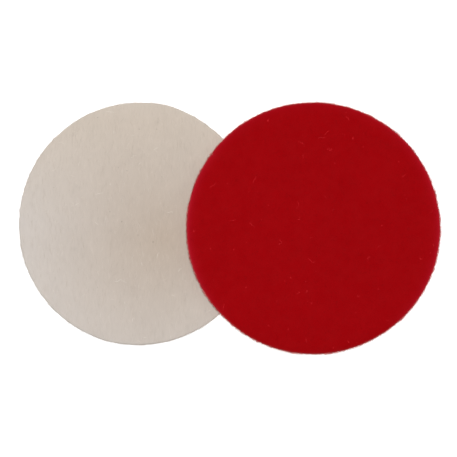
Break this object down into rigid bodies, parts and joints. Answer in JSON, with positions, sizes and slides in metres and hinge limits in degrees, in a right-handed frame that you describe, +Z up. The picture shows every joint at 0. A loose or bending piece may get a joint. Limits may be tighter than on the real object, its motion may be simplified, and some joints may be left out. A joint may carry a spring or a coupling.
{
  "type": "felt polishing disc set",
  "caption": "Plain round felt polishing discs for a flat lap, undyed and red, each with an adhesive back under release paper, laid partly overlapping.",
  "frame": {"origin": "on the table, under the middle of the pair", "axes": "+Z up out of the felt's working faces, +X from the undyed disc's centre towards the red disc's centre"},
  "size_m": [0.2543, 0.1524, 0.0084],
  "materials": {
    "undyed_felt": "matte",
    "red_felt": "matte",
    "adhesive_film": "satin",
    "release_paper": "satin"
  },
  "bodies": {
    "cream_disc": {"cream_felt": "undyed_felt", "cream_adhesive": "adhesive_film"},
    "cream_release_paper": {"cream_liner": "release_paper"},
    "red_disc": {"red_felt": "red_felt", "red_adhesive": "adhesive_film"},
    "red_release_paper": {"red_liner": "release_paper"}
  },
  "joints": [
    {"name": "cream_liner_peel", "type": "slide", "parent": "cream_disc", "child": "cream_release_paper", "axis": [0, -1, 0], "range_m": [0, 0.15]},
    {"name": "red_disc_lift", "type": "slide", "parent": "cream_disc", "child": "red_disc", "axis": [0, 0, 1], "range_m": [0, 0.05]},
    {"name": "red_liner_peel", "type": "slide", "parent": "red_disc", "child": "red_release_paper", "axis": [0, -1, 0], "range_m": [0, 0.155]}
  ]
}
